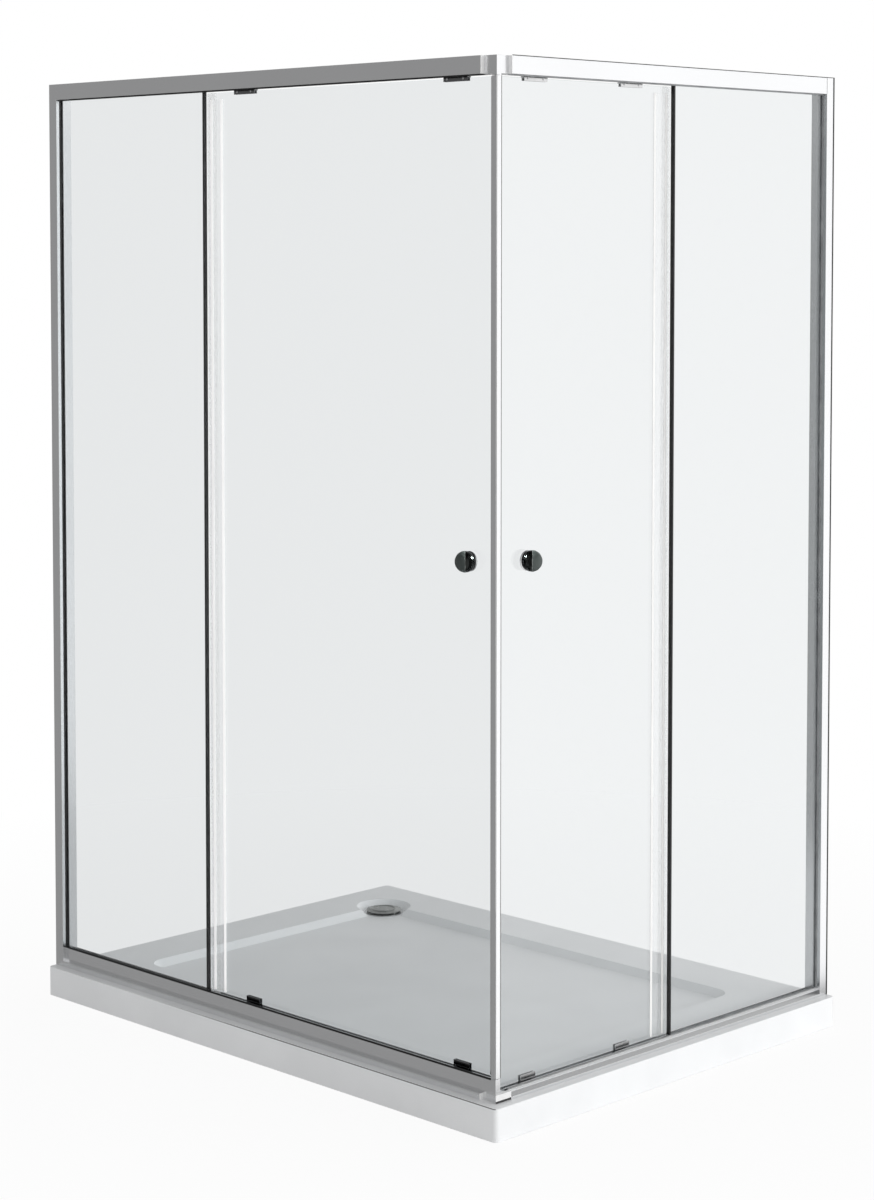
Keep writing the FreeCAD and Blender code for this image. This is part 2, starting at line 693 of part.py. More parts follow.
def corner_pad(body, wing, near, far, front, back, low, high):
    """Add a block between u = near and far, d = front and back, h = low and high."""
    sketch = sketch_on(body, lift="tray_height + (%s)" % low)
    corners = [wing.plan(near, front), wing.plan(far, back)]
    xs = sorted((corner[0] for corner in corners), key=number)
    ys = sorted((corner[1] for corner in corners), key=number)
    box_outline(sketch, xs[0], xs[1], ys[0], ys[1])
    return pad(body, sketch, "(%s) - (%s)" % (high, low))


def corner_block_top():
    """Upper corner block; a key runs into each roller track, a cap closes each rail's end."""
    body = new_body("corner_block_top_cast")
    corner_pad(body, FRONT, "face_recess", "rail_depth", "face_recess", "rail_depth",
               "rail_under", "frame_height")
    corner_pad(body, FRONT, "face_recess", "corner_face", "face_recess", "corner_face",
               "profile_high + corner_gap", "rail_under")
    for wing in (FRONT, SIDE):
        corner_pad(body, wing, "rail_depth - rail_wall", "rail_depth + key_length",
                   "slot_end + key_fit", "rail_back - key_fit",
                   "rail_under + rail_wall + rib_height + key_fit", "rail_web - key_fit")
        corner_pad(body, wing, "rail_depth - end_cap", "rail_depth", "0",
                   "face_recess + end_cap", "rail_under", "frame_height")
    at(body, ("-tray_length / 2", "-tray_width / 2", "0"))
    spot = [("rail_depth + key_length / 2", "rail_back - key_fit - 8", TOP_SCREW_HEIGHT)]
    first = drill("corner_block_top_bored", body, FRONT, spot, "screw_shank", "9")
    return drill("corner_block_top", first, SIDE, spot, "screw_shank", "9")


def corner_block_bottom():
    """Lower corner block: foot, upright leg under the profiles, face and end plate in front."""
    body = new_body("corner_block_bottom_cast")
    corner_pad(body, FRONT, "face_recess", "rail_depth", "face_recess", "rail_depth",
               "0", "corner_foot_height")
    corner_pad(body, FRONT, "face_recess", "corner_face", "face_recess",
               "face_recess + corner_wall", "0", "profile_low - corner_gap")
    corner_pad(body, FRONT, "corner_face", "rail_depth", "face_recess", "channel_front",
               "0", "front_sill_height")
    corner_pad(body, FRONT, "rail_depth - end_plate", "rail_depth", "face_recess", "rail_depth",
               "0", "front_sill_height - seat_depth")
    corner_pad(body, FRONT, "rail_depth - end_cap", "rail_depth", "0",
               "face_recess + end_cap", "0", "sill_flange_height")
    corner_pad(body, FRONT, "rail_depth - end_plate", "rail_depth + key_length",
               "track_front + key_fit", "rail_back - key_fit",
               "rail_wall + key_fit", "front_sill_height - seat_depth - rail_wall - key_fit")
    at(body, ("-tray_length / 2", "-tray_width / 2", "0"))
    return drill("corner_block_bottom", body, FRONT,
                 [("rail_depth + key_length / 2", "rail_back - key_fit - 8",
                   FRONT_SCREW_HEIGHT)], "screw_shank", "9")


def frame_screw(label, wing, u, h):
    """Pan-head screw through the inner wall of a section, its head on the inner face."""
    return turned(label, [
        ("0", "-8"), ("screw_shank", "-8"), ("screw_shank", "0"), ("screw_head", "0"),
        ("screw_head", "screw_head_height / 2"), ("screw_head * 0.6", "screw_head_height"),
        ("0", "screw_head_height")], wing.place(u, "rail_depth", h), facing(wing, inward=True))


def post_screws(wing):
    u = "%s - post_screw_set" % wing.run
    return group(wing.name + "_post_screws", [
        frame_screw("%s_post_screw_%d" % (wing.name, i + 1), wing, u, h)
        for i, h in enumerate(FIXING_HEIGHTS)])


def corner_screws():
    u = "rail_depth + key_length / 2"
    return group("corner_screws", [
        frame_screw("corner_screw_front_top", FRONT, u, TOP_SCREW_HEIGHT),
        frame_screw("corner_screw_side_top", SIDE, u, TOP_SCREW_HEIGHT),
        frame_screw("corner_screw_front_bottom", FRONT, u, FRONT_SCREW_HEIGHT)])


# ---------------------------------------------------------------- fixed glazing


def fixed_glass(wing):
    return panel(wing.name + "_fixed_glass", wing, "%s + seal_web" % wing.opening,
                 "%s - post_face + seat_depth" % wing.run, "%s - seat_depth" % wing.sill,
                 "rail_under + seat_depth", "fixed_back")


def gasket_section(metal, glass, lap, edge, way):
    """Gasket of one glass face: leg in the channel, bead over the metal's edge.

    metal, glass and lap are depths; edge is the mouth's level and way points out of the channel.
    """
    out = "%s %s bead_height" % (edge, way)
    deep = "%s %s gasket_reach" % (edge, "-" if way == "+" else "+")
    return [(metal, deep), (metal, edge), (lap, edge), (lap, out), (glass, out), (glass, deep)]


def glazing_gaskets(wing):
    """Black gaskets: outside along the whole opening, inside along the fixed glass only."""
    end = "%s - post_face" % wing.run
    near = "corner_face + 2" if wing.along_x else "rail_depth"
    faces = (("outer", "channel_front", "fixed_front", "channel_front - bead_depth",
              "rail_depth", near),
             ("inner", "channel_back", "fixed_back", "channel_back + bead_depth",
              wing.opening, wing.opening))
    pieces = []
    for name, metal, glass, lap, start, low_start in faces:
        label = "%s_%s_gasket" % (wing.name, name)
        pieces.append(extrusion(label + "_top", wing,
                                gasket_section(metal, glass, lap, "rail_under", "-"),
                                start, end))
        pieces.append(extrusion(label + "_bottom", wing,
                                gasket_section(metal, glass, lap, wing.sill, "+"),
                                low_start, end))
        section = gasket_section(metal, glass, lap, end, "-")
        pieces.append(upright(label + "_post", wing, [(u, d) for d, u in section],
                              "%s + bead_height" % wing.sill, "rail_under - bead_height"))
    return group(wing.name + "_glazing_gaskets", pieces)


def fixed_edge_seal(wing):
    """Black seal on the fixed panel's free edge, with a fin towards the door."""
    tip = wing.opening
    glass = "%s + seal_web" % tip
    grip = "%s + edge_seal_grip" % tip
    return upright(wing.name + "_fixed_edge_seal", wing, [
        (tip, "fixed_front - seal_wall"), (grip, "fixed_front - seal_wall"),
        (grip, "fixed_front"), (glass, "fixed_front"), (glass, "fixed_back"),
        (grip, "fixed_back"), (grip, "fixed_back + seal_wall"),
        ("%s + 2 * seal_web" % tip, "fixed_back + seal_wall"),
        ("%s + 1.6 * seal_web" % tip, "fixed_back + seal_wall + edge_seal_fin"),
        (glass, "fixed_back + seal_wall + edge_seal_fin"),
        ("%s + seal_web / 2" % tip, "fixed_back + seal_wall"), (tip, "fixed_back + seal_wall")],
        "%s + bead_height" % wing.sill, "rail_under - bead_height")


def door_stop(wing):
    """Rubber block in the roller track that the trailing hanger meets with the door open."""
    start = "%s + hanger_length / 2 + %s + stop_gap" % (wing.trail, wing.travel)
    low = "rail_under + rail_wall"
    return extrusion(wing.name + "_door_stop", wing, [
        ("track_front", low), ("slot_start", low), ("slot_start", low + " - rail_wall"),
        ("slot_end", low + " - rail_wall"), ("slot_end", "wheel_height + wheel_radius"),
        ("track_front", "wheel_height + wheel_radius")],
        start, start + " + stop_length")


# ---------------------------------------------------------------- sliding doors


def door_glass(wing):
    hole = (wing.knob, "knob_height", "stud_radius + stud_clearance")
    return panel(wing.name + "_door_glass", wing, "glass_lead",
                 "%s - seal_web" % wing.door_end, "%s - rear_wall_drop" % wing.sill,
                 "door_top", "door_back", [hole])


def closing_profile(wing):
    """Mitred profile on the door's leading edge; the two doors meet on the corner's diagonal."""
    face = "face_recess"
    pocket_low = "face_recess + closing_lip"
    pocket_high = "door_back - jaw_thickness"
    grip = "glass_lead + glass_grip"
    short_grip = "glass_lead + front_grip"
    seat = "glass_lead - 0.3"
    edge = "corner_face"
    points = [
        (face + " + closing_gap", face),
        (pocket_low + " + closing_gap", pocket_low),
        (pocket_low + " + closing_gap + magnet_step", pocket_low + " - magnet_step"),
        (pocket_high + " + closing_gap + magnet_step", pocket_high + " - magnet_step"),
        (pocket_high + " + closing_gap", pocket_high),
        ("jaw_back + closing_gap", "jaw_back"),
        (grip, "jaw_back"), (grip, "door_back"),
        (seat, "door_back"), (seat, "door_front"),
        (short_grip, "door_front"), (short_grip, "jaw_front"),
        ("jaw_front + mitre_back", "jaw_front"),
        (edge, edge + " - mitre_back"), (edge, face)]
    return upright(wing.name + "_closing_profile", wing, points, "profile_low", "profile_high")


def magnet_strip(wing):
    """Magnet in the closing profile's pocket, a little proud of it."""
    low = "face_recess + closing_lip"
    high = "door_back - jaw_thickness"
    points = [
        (low + " + closing_gap + magnet_step", low + " - magnet_step"),
        (high + " + closing_gap + magnet_step", high + " - magnet_step"),
        (high + " + closing_gap - magnet_proud", high + " + magnet_proud"),
        (low + " + closing_gap - magnet_proud", low + " + magnet_proud")]
    return upright(wing.name + "_magnet_strip", wing, points, "profile_low", "profile_high")


def trailing_seal(wing):
    """Clear seal on the door's trailing edge, hooked towards the fixed panel."""
    tip = wing.door_end
    glass = "%s - seal_web" % tip
    grip = "%s - trailing_grip" % tip
    return upright(wing.name + "_trailing_seal", wing, [
        (grip, "door_front - seal_wall"), (glass, "door_front - seal_wall"),
        (glass, "door_front - seal_wall - hook_reach"),
        (tip, "door_front - seal_wall - hook_reach"), (tip, "door_back + seal_wall"),
        (grip, "door_back + seal_wall"), (grip, "door_back"), (glass, "door_back"),
        (glass, "door_front"), (grip, "door_front")],
        "%s - rear_wall_drop" % wing.sill, "door_top")


def on_glass(wing, label, section, inward=False):
    """A revolved piece on the door glass at the knob; heights count from the glass."""
    return turned(label, section,
                  wing.place(wing.knob, "door_back" if inward else "door_front", "knob_height"),
                  facing(wing, inward))


def outer_knob(wing):
    """Flattened ball on a short neck, bored for the through stud."""
    seat = "washer_thickness + rosette_thickness"
    neck = "%s + rosette_thickness / 2" % seat
    points = [("stud_radius", seat), ("knob_neck", seat), ("knob_neck", neck)]
    for degrees in (-28, -10, 8, 26, 44, 62, 78):
        angle = math.radians(degrees)
        points.append(("knob_radius * %.4f" % math.cos(angle),
                       "knob_stand + knob_half_depth * %.4f" % math.sin(angle)))
    points += [("0", "knob_stand + knob_half_depth"), ("0", "knob_stand"),
               ("stud_radius", "knob_stand")]
    return on_glass(wing, wing.name + "_outer_knob", points)


def inner_knob(wing):
    """Low chamfered cap on the stud's inner end."""
    seat = "washer_thickness + rosette_thickness"
    middle = "%s + inner_knob_height / 2" % seat
    return on_glass(wing, wing.name + "_inner_knob", [
        ("stud_radius", seat), ("inner_knob_radius", seat), ("inner_knob_radius", middle),
        ("inner_knob_radius * 0.8", "%s + inner_knob_height" % seat),
        ("0", "%s + inner_knob_height" % seat), ("0", middle), ("stud_radius", middle)],
        inward=True)


def knob_stud(wing):
    """Stud through knob, glass and cap; heights count outwards from the outer face."""
    inside = "glass_thickness + washer_thickness + rosette_thickness + inner_knob_height / 2"
    return on_glass(wing, wing.name + "_knob_stud", [
        ("0", "-(%s)" % inside), ("stud_radius", "-(%s)" % inside),
        ("stud_radius", "knob_stand"), ("0", "knob_stand")])


def knob_rosettes(wing):
    """Chamfered rosettes, the wider one outside."""
    pieces = []
    for side, radius in (("outside", "rosette_radius"), ("inside", "inner_rosette_radius")):
        section = [
            ("stud_radius", "washer_thickness"), (radius, "washer_thickness"),
            (radius, "washer_thickness + rosette_thickness / 2"),
            (radius + " * 0.94", "washer_thickness + rosette_thickness"),
            ("stud_radius", "washer_thickness + rosette_thickness")]
        pieces.append(on_glass(wing, "%s_rosette_%s" % (wing.name, side), section,
                               inward=side == "inside"))
    return group(wing.name + "_knob_rosettes", pieces)


def knob_washers(wing):
    """Clear washers between each rosette and the glass."""
    pieces = []
    for side, radius in (("outside", "rosette_radius"), ("inside", "inner_rosette_radius")):
        section = [("stud_radius", "0"), (radius + " - 1", "0"),
                   (radius + " - 1", "washer_thickness"), ("stud_radius", "washer_thickness")]
        pieces.append(on_glass(wing, "%s_washer_%s" % (wing.name, side), section,
                               inward=side == "inside"))
    return group(wing.name + "_knob_washers", pieces)


def carriers(wing):
    """Where the leading and trailing hangers sit along a wing."""
    return (("lead", "hanger_lead"), ("trail", wing.trail))


def roller_hangers(wing):
    """Saddles over the door glass, each with a shouldered plate up into the roller track."""
    low = "hanger_low"
    seat = "door_top"
    top = "rail_under - hanger_clearance"
    section = [
        ("jaw_front", low), ("door_front", low), ("door_front", seat), ("door_back", seat),
        ("door_back", low), ("jaw_back", low), ("jaw_back", top), ("jaw_front", top)]
    pieces = []
    for name, u in carriers(wing):
        label = "%s_hanger_%s" % (wing.name, name)
        saddle = extrusion(label + "_saddle", wing, section, u + " - hanger_length / 2",
                           u + " + hanger_length / 2")
        plate = hanger_plate(label, wing, u, top)
        whole = doc.addObject("Part::Fuse", label + "_blank")
        whole.Base = saddle
        whole.Tool = plate
        axle = drill(label + "_bored", whole, wing, [(u, "plate_front - 1", "wheel_height")],
                     "axle_radius", "plate_thickness + 2")
        pieces.append(drill(label, axle, wing,
                            [(spot, "jaw_front - 1", CLAMP_HEIGHT) for spot in clamp_spots(u)],
                            "clamp_screw_shank", "jaw_thickness + 1"))
    return group(wing.name + "_roller_hangers", pieces)


def hanger_plate(label, wing, u, low):
    """The plate's outline lies in u and h, with sloped shoulders under the axle."""
    body = new_body(label + "_plate")
    sketch = sketch_on(body)
    half = "hanger_length / 2"
    high = "rail_under + plate_rise"
    shoulder = "rail_under + plate_rise - plate_shoulder"
    middle = "%s - (%s)" % (wing.run, u) if wing.along_x else u
    outline(sketch, [
        (middle + " - " + half, low), (middle + " + " + half, low),
        (middle + " + " + half, "rail_under + rail_wall"),
        (middle + " + plate_shoulder", shoulder), (middle + " + plate_shoulder / 2", high),
        (middle + " - plate_shoulder / 2", high), (middle + " - plate_shoulder", shoulder),
        (middle + " - " + half, "rail_under + rail_wall")])
    pad(body, sketch, "plate_thickness")
    if wing.along_x:
        return at(body, wing.place(wing.run, "plate_back", "0"), turn((1, 0, 0), (0, 0, 1)))
    return at(body, wing.place("0", "plate_back", "0"), turn((0, 1, 0), (0, 0, 1)))


CLAMP_HEIGHT = "hanger_low + clamp_screw_drop"


def clamp_spots(u):
    return (u + " - clamp_screw_spread / 2", u + " + clamp_screw_spread / 2")


def hanger_screws(wing):
    """Clamp screws in the hangers' outer jaws, tips on the glass."""
    pieces = []
    for name, u in carriers(wing):
        for i, spot in enumerate(clamp_spots(u)):
            pieces.append(turned("%s_clamp_screw_%s_%d" % (wing.name, name, i + 1), [
                ("0", "-jaw_thickness"), ("clamp_screw_shank", "-jaw_thickness"),
                ("clamp_screw_shank", "0"), ("clamp_screw_head", "0"),
                ("clamp_screw_head", "clamp_head_height"), ("0", "clamp_head_height")],
                wing.place(spot, "jaw_front", CLAMP_HEIGHT), facing(wing)))
    return group(wing.name + "_hanger_screws", pieces)


def roller_axles(wing):
    """Riveted axles: head outside the plate, collar inside, journal and end collar."""
    collar = "wheel_front - wheel_side_gap - plate_back"
    journal = "wheel_back + wheel_side_gap - plate_back"
    section = [
        ("0", "-plate_thickness - axle_head_height"),
        ("axle_head", "-plate_thickness - axle_head_height"), ("axle_head", "-plate_thickness"),
        ("axle_radius", "-plate_thickness"), ("axle_radius", "0"), ("axle_head", "0"),
        ("axle_head", collar), ("axle_radius", collar), ("axle_radius", journal),
        ("axle_head", journal), ("axle_head", journal + " + axle_head_height"),
        ("0", journal + " + axle_head_height")]
    return group(wing.name + "_roller_axles", [
        turned("%s_axle_%s" % (wing.name, name), section,
               wing.place(u, "plate_back", "wheel_height"), facing(wing, inward=True))
        for name, u in carriers(wing)])


def roller(wing, name, u):
    """Grooved roller; its groove straddles the running rib of the track."""
    bore = "axle_radius + axle_fit"
    half = "wheel_width / 2"
    return turned("%s_roller_%s" % (wing.name, name), [
        (bore, "-" + half), ("wheel_radius", "-" + half),
        ("wheel_radius", "-rib_width"), ("wheel_root", "-rib_width / 3"),
        ("wheel_root", "rib_width / 3"), ("wheel_radius", "rib_width"),
        ("wheel_radius", half), (bore, half)],
        wing.place(u, "rib_middle", "wheel_height"), facing(wing, inward=True))


def bottom_guides(wing):
    """Saddles under the door glass, each with a shoe that runs between the sill's lips."""
    top = "%s + guide_rise" % wing.sill
    seat = "%s - rear_wall_drop" % wing.sill
    under = "%s - seat_depth + lip_height + guide_clearance" % wing.sill
    foot = "%s - seat_depth + guide_clearance" % wing.sill
    section = [
        ("jaw_front", top), ("door_front", top), ("door_front", seat), ("door_back", seat),
        ("door_back", top), ("jaw_back", top), ("jaw_back", under),
        ("door_back + guide_clearance", under), ("door_back + guide_clearance", foot),
        ("door_front - guide_clearance", foot), ("door_front - guide_clearance", under),
        ("jaw_front", under)]
    return group(wing.name + "_bottom_guides", [
        extrusion("%s_guide_%s" % (wing.name, name), wing, section,
                  u + " - guide_shift - guide_length / 2",
                  u + " - guide_shift + guide_length / 2")
        for name, u in carriers(wing)])


# ---------------------------------------------------------------- the whole enclosure

node(shower_tray())
node(drain_flange())
node(drain_cover())
for wing in (FRONT, SIDE):
    node(wall_profile(wing))
    node(post(wing))
    node(top_rail(wing))
    node(post_screws(wing))
    node(fixed_glass(wing))
    node(glazing_gaskets(wing))
    node(fixed_edge_seal(wing))
    node(door_stop(wing))
node(front_sill())
node(side_sill())
node(corner_block_top())
node(corner_block_bottom())
node(corner_screws())
for wing in (FRONT, SIDE):
    node(door_glass(wing))
    node(closing_profile(wing))
    node(magnet_strip(wing))
    node(trailing_seal(wing))
    node(outer_knob(wing))
    node(inner_knob(wing))
    node(knob_rosettes(wing))
    node(knob_stud(wing))
    node(knob_washers(wing))
    node(roller_hangers(wing))
    node(hanger_screws(wing))
    node(roller_axles(wing))
    for name, u in carriers(wing):
        node(roller(wing, name, u))
    node(bottom_guides(wing))

doc.recompute()
for thing in doc.Objects:
    if "Invalid" in thing.State or "Error" in thing.State:
        raise RuntimeError("%s failed: %s" % (thing.Label, thing.State))
for thing in NODES:
    if thing.Shape.isNull() or not thing.Shape.isValid():
        raise RuntimeError("%s has no valid shape" % thing.Label)
    if not all(solid.isClosed() for solid in thing.Shape.Solids) or not thing.Shape.Solids:
        raise RuntimeError("%s isn't made of closed solids" % thing.Label)

os.makedirs("parts", exist_ok=True)
for thing in NODES:
    thing.Shape.exportStep(os.path.join("parts", thing.Label + ".step"))
print("%d nodes" % len(NODES))
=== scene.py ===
"""Looks of the corner shower enclosure: camera, studio, materials and fine pieces round the CAD frame."""
import bpy
import math
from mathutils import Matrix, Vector


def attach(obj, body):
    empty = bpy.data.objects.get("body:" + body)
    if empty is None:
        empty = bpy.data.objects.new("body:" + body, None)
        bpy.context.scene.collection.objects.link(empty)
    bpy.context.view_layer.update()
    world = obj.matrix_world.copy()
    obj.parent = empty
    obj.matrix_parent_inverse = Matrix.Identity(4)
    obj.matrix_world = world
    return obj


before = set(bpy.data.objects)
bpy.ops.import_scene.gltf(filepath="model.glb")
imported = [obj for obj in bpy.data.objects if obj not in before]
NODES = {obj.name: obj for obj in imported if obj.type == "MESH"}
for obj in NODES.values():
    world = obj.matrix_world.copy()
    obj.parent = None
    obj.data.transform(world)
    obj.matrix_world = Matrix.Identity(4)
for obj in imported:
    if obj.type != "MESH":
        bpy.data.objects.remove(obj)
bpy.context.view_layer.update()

# ---------------------------------------------------------------- camera

# Fitted to the photo: metres, degrees below the horizon, millimetres of lens and of sensor.
CAMERA_AT = (3.8058, -3.793, 1.588)
CAMERA_YAW = 45.024
CAMERA_PITCH = 3.2
CAMERA_LENS = 79.109
CAMERA_SENSOR = 36
CAMERA_SHIFT_Y = -0.1769
CAMERA_REACH = 200

camera_data = bpy.data.cameras.new("camera")
camera_data.sensor_width = CAMERA_SENSOR
camera_data.sensor_fit = "AUTO"
camera_data.lens = CAMERA_LENS
camera_data.shift_y = CAMERA_SHIFT_Y
camera_data.clip_end = CAMERA_REACH
camera = bpy.data.objects.new("camera", camera_data)
camera.location = CAMERA_AT
camera.rotation_euler = (math.radians(90 - CAMERA_PITCH), 0, math.radians(CAMERA_YAW))
bpy.context.scene.collection.objects.link(camera)
bpy.context.scene.camera = camera
bpy.context.scene.view_settings.view_transform = "Standard"


# ---------------------------------------------------------------- node helpers

BEVEL_SAMPLES = 6


class Shader:
    """Builds the node tree of a material, or of the world, with short calls."""

    def __init__(self, name, world=False):
        holder = bpy.data.worlds if world else bpy.data.materials
        self.material = holder.new(name)
        self.material.use_nodes = True
        self.tree = self.material.node_tree
        self.tree.nodes.clear()
        self.out = self.add("ShaderNodeOutput" + ("World" if world else "Material"))
        self.coords = None

    def add(self, kind, inputs=None, **settings):
        node = self.tree.nodes.new(kind)
        for key, value in settings.items():
            setattr(node, key, value)
        for key, value in (inputs or {}).items():
            self.put(node.inputs[key], value)
        return node

    def put(self, socket, value):
        if isinstance(value, bpy.types.NodeSocket):
            self.tree.links.new(value, socket)
        elif isinstance(value, bpy.types.Node):
            self.tree.links.new(value.outputs[0], socket)
        else:
            socket.default_value = value

    def place(self, scale=(1, 1, 1)):
        """Object coordinates in metres, stretched."""
        if self.coords is None:
            self.coords = self.add("ShaderNodeTexCoord")
        return self.add("ShaderNodeMapping", {"Vector": self.coords.outputs["Object"], "Scale": scale})

    def noise(self, scale, stretch=(1, 1, 1), detail=4.0, roughness=0.5):
        return self.add("ShaderNodeTexNoise", {
            "Vector": self.place(stretch), "Scale": scale, "Detail": detail,
            "Roughness": roughness})

    def span(self, value, low, high, start=0.3, end=0.7):
        """Carry a value from start..end onto low..high."""
        return self.add("ShaderNodeMapRange", {
            "Value": value, "From Min": start, "From Max": end, "To Min": low, "To Max": high})

    def blend(self, factor, first, second):
        """Mix two colours; the indices are the colour sockets of the Mix node."""
        node = self.add("ShaderNodeMix", data_type="RGBA")
        self.put(node.inputs[0], factor)
        self.put(node.inputs[6], first)
        self.put(node.inputs[7], second)
        return node.outputs[2]

    def math(self, operation, first, second, **settings):
        return self.add("ShaderNodeMath", {0: first, 1: second}, operation=operation, **settings)

    def dot(self, first, second):
        node = self.add("ShaderNodeVectorMath", {0: first, 1: second}, operation="DOT_PRODUCT")
        return node.outputs["Value"]

    def axes(self, source=None):
        """X, Y and Z of a vector; the place on the object if none is given."""
        return self.add("ShaderNodeSeparateXYZ", {0: source or self.place()}).outputs

    def bump(self, height, strength, distance, normal=None):
        inputs = {"Height": height, "Strength": strength, "Distance": distance}
        if normal is not None:
            inputs["Normal"] = normal
        return self.add("ShaderNodeBump", inputs)

    def rounded(self, radius):
        """The normal with edges rounded off."""
        return self.add("ShaderNodeBevel", {"Radius": radius}, samples=BEVEL_SAMPLES)

    def surface(self, **inputs):
        """The Principled shader; keyword names use underscores for spaces."""
        self.put(self.out.inputs["Surface"], self.add("ShaderNodeBsdfPrincipled", {
            key.replace("_", " "): value for key, value in inputs.items()}))

    def finish(self, shader=None):
        """The material, with a shader other than that of surface() if one is given."""
        if shader is not None:
            self.put(self.out.inputs["Surface"], shader)
        return self.material


def rgb(red, green, blue):
    """Linear colour of an sRGB triple of 0..255."""
    def linear(value):
        value = value / 255
        return value / 12.92 if value <= 0.04045 else ((value + 0.055) / 1.055) ** 2.4
    return (linear(red), linear(green), linear(blue), 1)


def shades(base, share):
    """A share of a linear colour, and the colour itself."""
    return (*[channel * share for channel in base], 1), (*base, 1)


def wear(shader, reach):
    """0 on flat faces, 1 on edges: the difference of the rounded and the true normal."""
    true_normal = shader.add("ShaderNodeNewGeometry").outputs["Normal"]
    turned = shader.dot(shader.rounded(reach), true_normal)
    return shader.span(turned, 1, 0, 0.8, 0.995)


# ---------------------------------------------------------------- materials


RIM_FRONT = -0.493  # y inside which the tray's front rim has no painted shade line
RIM_LINE_FROM, RIM_LINE_TO = -0.35, 0  # x over which its painted shade line fades in


def tray_material():
    """White stone resin, with a painted shade line, dark and fine, in the rounding of the front rim."""
    m = Shader("tray_stone_resin")
    cloud = m.noise(7, detail=3)
    grain = m.noise(900, detail=2)
    colour = m.blend(m.span(cloud, 0, 1), rgb(240, 241, 242), rgb(246, 247, 248))
    facing = m.axes(m.add("ShaderNodeNewGeometry").outputs["True Normal"])
    # painted shade: a dark fine line where the front rim rounds over, on the front only, fading in
    # towards the corner
    slanted = m.math("MULTIPLY", m.span(facing["Z"], 0, 1, 0.1, 0.3),
                     m.span(facing["Y"], 1, 0, -0.3, -0.1))
    rim = m.math("MULTIPLY", slanted, m.span(m.axes()["Y"], 1, 0, RIM_FRONT - 0.0005, RIM_FRONT))
    rim = m.math("MULTIPLY", rim, m.span(m.axes()["X"], 0, 1, RIM_LINE_FROM, RIM_LINE_TO))
    colour = m.blend(rim, colour, rgb(100, 100, 100))
    m.surface(Base_Color=colour, Roughness=m.span(grain, 0.3, 0.42), IOR=1.45,
              Coat_Weight=0.1, Coat_Roughness=0.2,
              Normal=m.bump(grain, 0.06, 0.0003, m.rounded(0.001)))
    return m.finish()


DRAWN_ACROSS, DRAWN_ALONG = 420, 3  # scale of the draw lines across and along a profile


def aluminium(name, along, edge_radius=0.0006):
    """Satin anodised metal with fine draw lines along one axis."""
    stretch = [DRAWN_ACROSS] * 3
    stretch["XYZ".index(along)] = DRAWN_ALONG
    m = Shader(name)
    lines = m.noise(4, stretch, detail=6, roughness=0.65)
    cloud = m.noise(3, detail=2)
    colour = m.blend(m.span(cloud, 0, 1), *shades((0.86, 0.865, 0.875), 0.97))
    edge = m.blend(wear(m, 0.0009), colour, (0.96, 0.96, 0.965, 1))
    m.surface(Base_Color=edge, Metallic=1.0, Roughness=m.span(lines, 0.21, 0.26),
              Normal=m.bump(lines, 0.012, 0.0001, m.rounded(edge_radius)))
    return m.finish()


CAP_FRONT_Y, CAP_SIDE_X = -0.4681, 0.6251  # the end caps stand outside these planes
CAP_SEAM = 0.00005


def corner_material():
    """Cast metal corner; the caps that close the rails' outer chambers are matt white plastic, and their
    pure white is a painted highlight of the bright face they show.
    """
    m = Shader("corner_cast")
    grain = m.noise(700, detail=3)
    cloud = m.noise(20, detail=2)
    metal = m.blend(m.span(cloud, 0, 1), (0.83, 0.835, 0.845, 1), (0.86, 0.865, 0.875, 1))
    at = m.axes()
    front_cap = m.span(at["Y"], 1, 0, CAP_FRONT_Y - CAP_SEAM, CAP_FRONT_Y + CAP_SEAM)
    side_cap = m.span(at["X"], 0, 1, CAP_SIDE_X - CAP_SEAM, CAP_SIDE_X + CAP_SEAM)
    # painted highlight: the caps are made matt white for the bright light on their faces
    painted_cap_highlight = m.math("MAXIMUM", front_cap, side_cap)
    m.surface(Base_Color=m.blend(painted_cap_highlight, metal, (0.96, 0.96, 0.96, 1)), Metallic=m.span(painted_cap_highlight, 1, 0, 0, 1),
              Roughness=m.span(grain, 0.2, 0.27),
              Normal=m.bump(grain, 0.03, 0.0002, m.rounded(0.0004)))
    return m.finish()


FRONT_KNOB = (0.545, -0.4644, 1.018)
SIDE_KNOB = (0.6214, -0.372, 1.018)
SEAM_IN, SEAM_OUT = 0.0004, 0.0008  # half width of the knob's painted reflection line, and where it has faded


def painted_reflection_knob(name, centre, outward):
    """Half polished black towards the corner, half satin grey-green, with a fine lighter line between
    them; the grey-green half and the line are a painted reflection.
    """
    m = Shader(name)
    haze = m.noise(160, detail=4)
    at = m.axes()
    across = m.math("SUBTRACT", m.math("ADD", at["X"], at["Y"]), sum(centre[:2]))
    along = m.math("MULTIPLY", across, outward * math.sqrt(0.5))
    # painted reflection: the satin grey-green half away from the corner and the lighter line stand for
    # surroundings mirrored in the ball
    outer = m.span(along, 0, 1, 0, SEAM_IN)
    reflection_seam = m.math("MULTIPLY", m.span(along, 0, 1, -SEAM_OUT, -SEAM_IN),
                  m.span(along, 1, 0, SEAM_IN, SEAM_OUT))
    colour = m.blend(outer, (0.022, 0.024, 0.023, 1), rgb(66, 73, 71))
    m.surface(Base_Color=m.blend(reflection_seam, colour, rgb(120, 124, 122)), Metallic=m.span(outer, 1, 0.2, 0, 1),
              Roughness=m.math("ADD", m.span(outer, 0.12, 0.42, 0, 1), m.span(haze, 0, 0.04)),
              Normal=m.bump(haze, 0.02, 0.0001))
    return m.finish()


